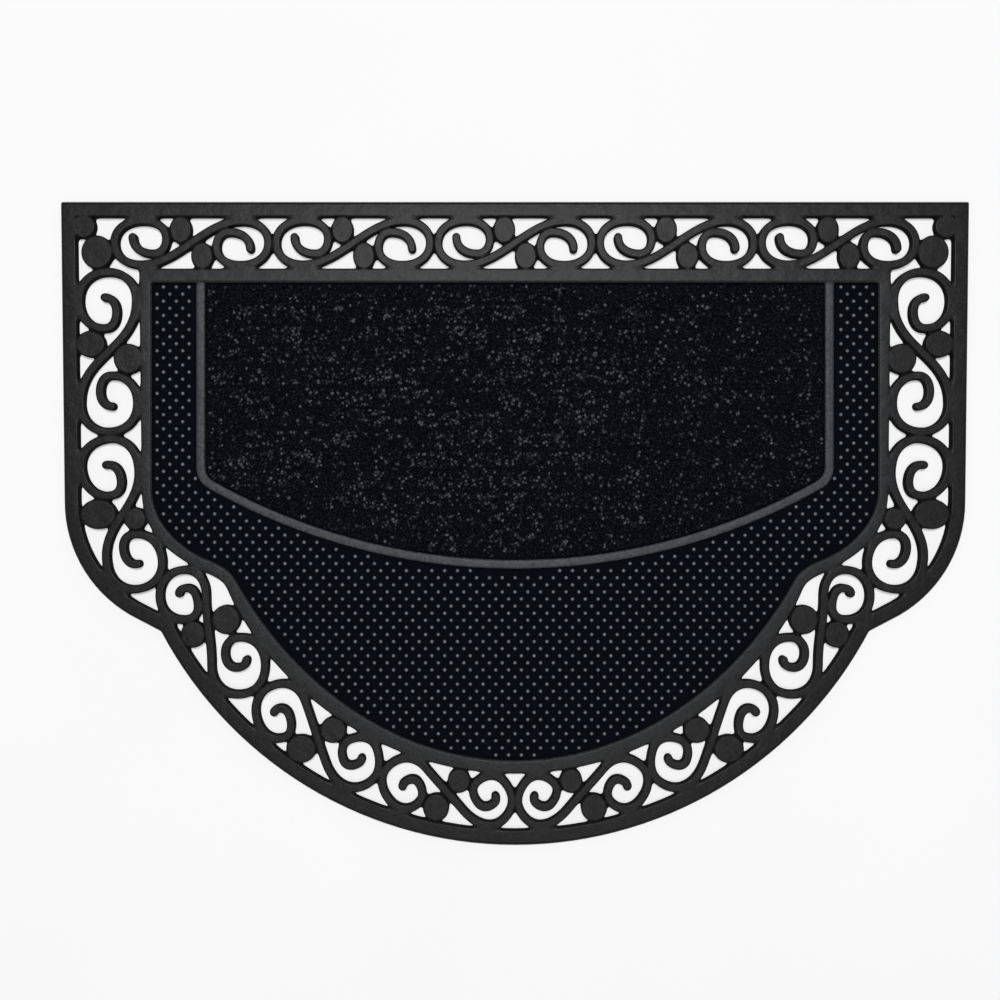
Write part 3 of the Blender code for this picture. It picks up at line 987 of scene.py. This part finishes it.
def pip_material():
    """The pips are the floor's rubber, painted paler towards their tops as a highlight."""
    material, tree, shader = node_material("pip_rubber")
    # Painted highlight: the tone rises from the foot to the top of each pip
    colour = ramp(tree, attribute_value(tree, "tone"), (
        (0.0, FLOOR_COLOUR),
        (0.2, (0.0100, 0.0115, 0.0160)),
        (0.7, (0.0700, 0.0750, 0.0850)),
        (1.0, (0.1400, 0.1460, 0.1580)),
    ))
    colour = scaled(tree, colour, noise_factor(tree, 0.004, 3, 0.75, 1.2))
    tree.links.new(colour, shader.inputs["Base Color"])
    tree.links.new(noise_factor(tree, 0.003, 2, 0.42, 0.56), shader.inputs["Roughness"])
    shader.inputs["Specular IOR Level"].default_value = 0.06
    add_bump(tree, shader, noise_factor(tree, 0.0006, 2, 0, 1), 0.00004)
    return material


def carpet_material():
    """Needle-punched carpet: near-black matted fibre with a cool cast."""
    material, tree, shader = node_material("matted_carpet")
    colour = ramp(tree, noise_factor(tree, 0.0016, 5, 0, 1), (
        (0.0, (0.0006, 0.0008, 0.0016)),
        (0.55, (0.0026, 0.0029, 0.0047)),
        (1.0, (0.0130, 0.0136, 0.0175)),
    ))
    tree.links.new(colour, shader.inputs["Base Color"])
    shader.inputs["Roughness"].default_value = 0.95
    shader.inputs["Specular IOR Level"].default_value = 0.03
    nap = add_bump(tree, shader, noise_factor(tree, 0.0009, 4, 0, 1), 0.0004)
    add_bump(tree, shader, noise_factor(tree, 0.0035, 3, 0, 1), 0.0006, nap)
    return material


FIBRE_COLOURS = {
    PALE_FIBRES.name: (
        (0.0, (0.0050, 0.0053, 0.0075)),
        (0.5, (0.0230, 0.0238, 0.0285)),
        (1.0, (0.0780, 0.0805, 0.0890)),
    ),
    DARK_FIBRES.name: (
        (0.0, (0.0020, 0.0021, 0.0030)),
        (0.6, (0.0060, 0.0063, 0.0085)),
        (1.0, (0.0180, 0.0185, 0.0230)),
    ),
}


def fibre_material(name):
    """Loose fibres, each in its own shade."""
    material, tree, shader = node_material(name)
    colour = ramp(tree, attribute_value(tree, "shade"), FIBRE_COLOURS[name])
    colour = scaled(tree, colour, noise_factor(tree, 0.0008, 2, 0.75, 1.25))
    tree.links.new(colour, shader.inputs["Base Color"])
    shader.inputs["Roughness"].default_value = 0.75
    shader.inputs["Specular IOR Level"].default_value = 0.05
    return material


def floor_material():
    """Plain pale ground with the faintest unevenness."""
    material, tree, shader = node_material("pale_ground")
    cloud = noise_factor(tree, 0.25, 2, 0, 1)
    colour = ramp(tree, cloud, ((0.0, (0.49, 0.49, 0.49)), (1.0, (0.50, 0.50, 0.50))))
    tree.links.new(colour, shader.inputs["Base Color"])
    shader.inputs["Roughness"].default_value = 0.9
    shader.inputs["Specular IOR Level"].default_value = 0.0
    shader.inputs["Emission Color"].default_value = (1, 1, 1, 1)
    shader.inputs["Emission Strength"].default_value = 0.372
    return material


def make_ground():
    bpy.ops.mesh.primitive_plane_add(size=12, location=(0, 0, 0))
    ground = bpy.context.active_object
    ground.name = "ground"
    ground.data.materials.append(floor_material())


def make_camera():
    """Looks straight down, far enough up for the picture's width to fit at the border's height."""
    camera = bpy.data.cameras.new("camera")
    camera.sensor_width = SENSOR_WIDTH
    camera.lens = SENSOR_WIDTH * (CAMERA_HEIGHT - BORDER_TOP) / PICTURE_WIDTH
    holder = bpy.data.objects.new("camera", camera)
    holder.location = (CAMERA_X, CAMERA_Y, CAMERA_HEIGHT)
    bpy.context.scene.collection.objects.link(holder)
    bpy.context.scene.camera = holder


def make_light(name, location, target, size, power):
    """A soft square light that faces a point of the mat."""
    light = bpy.data.lights.new(name, "AREA")
    light.size = size
    light.energy = power
    holder = bpy.data.objects.new(name, light)
    holder.location = location
    holder.rotation_euler = (Vector(target) - Vector(location)).to_track_quat("-Z", "Y").to_euler()
    bpy.context.scene.collection.objects.link(holder)


def make_lighting():
    world = bpy.data.worlds.new("studio")
    world.use_nodes = True
    background = world.node_tree.nodes["Background"]
    background.inputs["Color"].default_value = (1, 1, 1, 1)
    background.inputs["Strength"].default_value = 0.25
    bpy.context.scene.world = world
    make_light("overhead", (-0.05, 1.17, 5.0), (0, 0, 0), 0.8, 210)
    make_light("low_fill", (0.05, -1.30, 5.0), (0, 0, 0), 1.2, 45)
    bpy.context.scene.view_settings.view_transform = "Standard"


def dress():
    """Every piece of the mat, each on the frame's one body."""
    grid = Grid()
    plan = draw_plan(grid)
    moulding = make_moulding(grid, plan)
    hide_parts("rubber_mat")
    pips = make_pips(grid, plan)
    carpet = make_carpet(grid, plan)
    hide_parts("carpet_insert")
    pile = [make_fibres(fibres, grid, plan) for fibres in (PALE_FIBRES, DARK_FIBRES)]
    for piece in (moulding, pips, carpet, *pile):
        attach(piece, "root")


make_camera()
make_lighting()
make_ground()
dress()
